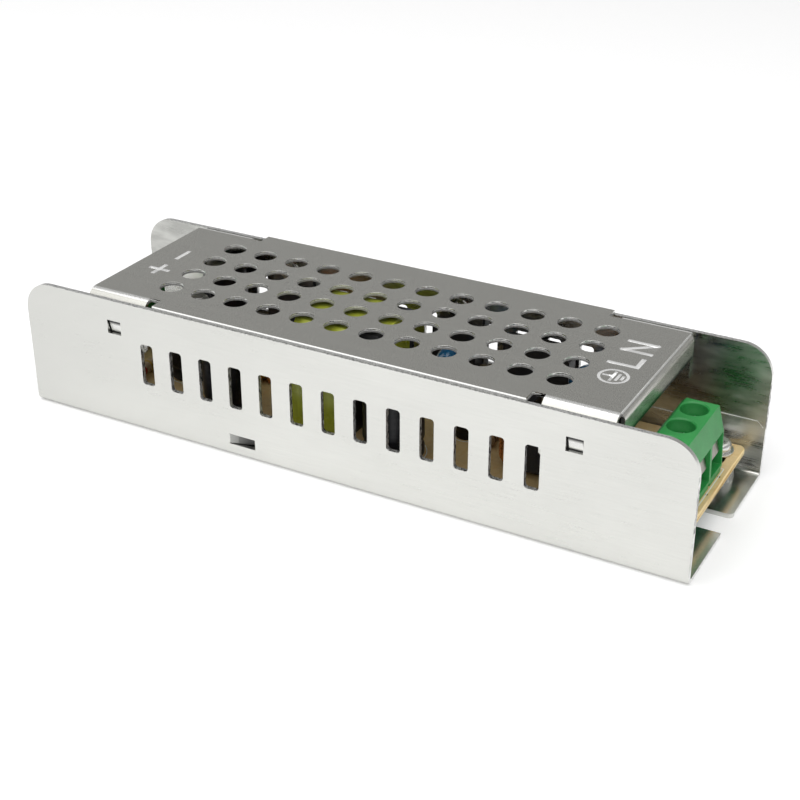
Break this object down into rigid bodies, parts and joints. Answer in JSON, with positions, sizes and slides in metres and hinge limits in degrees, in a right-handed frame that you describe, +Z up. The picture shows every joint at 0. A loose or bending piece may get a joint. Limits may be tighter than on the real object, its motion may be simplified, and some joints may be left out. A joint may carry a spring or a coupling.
{
  "type": "led power supply",
  "caption": "Slim enclosed switching supply for light strips: folded metal channel, snap-in perforated cover, circuit board, and rising-cage screw terminals in open end bays.",
  "frame": {"origin": "under the middle of the case, on the surface it stands on", "axes": "+X along the case towards the mains terminal, +Y across it towards the wall that cools the power devices, +Z up"},
  "size_m": [0.15, 0.0444, 0.0298],
  "materials": {
    "chassis_aluminium": "fine brushed",
    "cover_sheet": "smooth rolled",
    "clear_film": "milky clear",
    "board_laminate": "phenolic paper laminate",
    "zinc_steel": "zinc plated",
    "tinned_copper": "tinned",
    "nickel_plate": "nickel plated",
    "terminal_green": "moulded, satin",
    "brown_coating": "dipped lacquer",
    "dark_epoxy": "dipped epoxy",
    "case_plastic": "moulded case",
    "blue_epoxy": "dipped epoxy",
    "black_epoxy": "moulded epoxy",
    "white_epoxy": "moulded epoxy",
    "black_sleeve": "shrunk sleeve",
    "ferrite": "sintered",
    "core_paint": "painted core",
    "enamelled_copper": "enamelled wire",
    "bobbin_plastic": "moulded",
    "lime_tape": "polyester tape",
    "resistor_lacquer": "lacquered",
    "pad_rubber": "thin silicone pad"
  },
  "bodies": {
    "root": {"board_screws": "zinc_steel", "board_washers": "zinc_steel", "bridge_rectifier": "black_epoxy", "bulk_capacitor": "black_sleeve", "chassis": "chassis_aluminium", "choke_core": "ferrite", "choke_windings": "enamelled_copper", "circuit_board": "board_laminate", "controller_chip": "black_epoxy", "cover": "cover_sheet", "device_pads": "pad_rubber", "device_screws": "zinc_steel", "input_fuse": "brown_coating", "input_terminal_contacts": "tinned_copper", "input_terminal_housing": "terminal_green", "insulation_film": "clear_film", "optocoupler": "white_epoxy", "output_capacitor_1": "black_sleeve", "output_capacitor_2": "black_sleeve", "output_capacitor_3": "black_sleeve", "output_diode": "black_epoxy", "output_inductor_core": "core_paint", "output_inductor_winding": "enamelled_copper", "output_terminal_contacts": "tinned_copper", "output_terminal_housing": "terminal_green", "power_transistor": "black_epoxy", "resistors": "resistor_lacquer", "supply_capacitor": "black_sleeve", "thermistor": "dark_epoxy", "transformer_bobbin": "bobbin_plastic", "transformer_core_left": "ferrite", "transformer_core_right": "ferrite", "transformer_winding": "lime_tape", "varistor": "blue_epoxy", "x_capacitor": "case_plastic", "y_capacitor": "blue_epoxy"},
    "input_screw_1": {"input_screw_1": "zinc_steel"},
    "input_cage_1": {"input_cage_1": "nickel_plate"},
    "input_screw_2": {"input_screw_2": "zinc_steel"},
    "input_cage_2": {"input_cage_2": "nickel_plate"},
    "input_screw_3": {"input_screw_3": "zinc_steel"},
    "input_cage_3": {"input_cage_3": "nickel_plate"},
    "output_screw_1": {"output_screw_1": "zinc_steel"},
    "output_cage_1": {"output_cage_1": "nickel_plate"},
    "output_screw_2": {"output_screw_2": "zinc_steel"},
    "output_cage_2": {"output_cage_2": "nickel_plate"}
  },
  "joints": [
    {"name": "input_screw_1_turn", "type": "hinge", "parent": "root", "child": "input_screw_1", "pos_m": [0.06455, -0.0088, 0.017], "axis": [0, 0, 1], "range_deg": [0, 1296]},
    {"name": "input_cage_1_slide", "type": "slide", "parent": "root", "child": "input_cage_1", "axis": [0, 0, 1], "range_m": [-0.0018, 0]},
    {"name": "input_screw_2_turn", "type": "hinge", "parent": "root", "child": "input_screw_2", "pos_m": [0.06455, -0.0013, 0.017], "axis": [0, 0, 1], "range_deg": [0, 1296]},
    {"name": "input_cage_2_slide", "type": "slide", "parent": "root", "child": "input_cage_2", "axis": [0, 0, 1], "range_m": [-0.0018, 0]},
    {"name": "input_screw_3_turn", "type": "hinge", "parent": "root", "child": "input_screw_3", "pos_m": [0.06455, 0.0062, 0.017], "axis": [0, 0, 1], "range_deg": [0, 1296]},
    {"name": "input_cage_3_slide", "type": "slide", "parent": "root", "child": "input_cage_3", "axis": [0, 0, 1], "range_m": [-0.0018, 0]},
    {"name": "output_screw_1_turn", "type": "hinge", "parent": "root", "child": "output_screw_1", "pos_m": [-0.06455, 0.00375, 0.017], "axis": [0, 0, 1], "range_deg": [0, 1296]},
    {"name": "output_cage_1_slide", "type": "slide", "parent": "root", "child": "output_cage_1", "axis": [0, 0, 1], "range_m": [-0.0018, 0]},
    {"name": "output_screw_2_turn", "type": "hinge", "parent": "root", "child": "output_screw_2", "pos_m": [-0.06455, -0.00375, 0.017], "axis": [0, 0, 1], "range_deg": [0, 1296]},
    {"name": "output_cage_2_slide", "type": "slide", "parent": "root", "child": "output_cage_2", "axis": [0, 0, 1], "range_m": [-0.0018, 0]}
  ],
  "couplings": [
    {"joint": "input_screw_1_turn", "follows": "input_cage_1_slide", "rad_per_m": -12566},
    {"joint": "input_screw_2_turn", "follows": "input_cage_2_slide", "rad_per_m": -12566},
    {"joint": "input_screw_3_turn", "follows": "input_cage_3_slide", "rad_per_m": -12566},
    {"joint": "output_screw_1_turn", "follows": "output_cage_1_slide", "rad_per_m": -12566},
    {"joint": "output_screw_2_turn", "follows": "output_cage_2_slide", "rad_per_m": -12566}
  ]
}
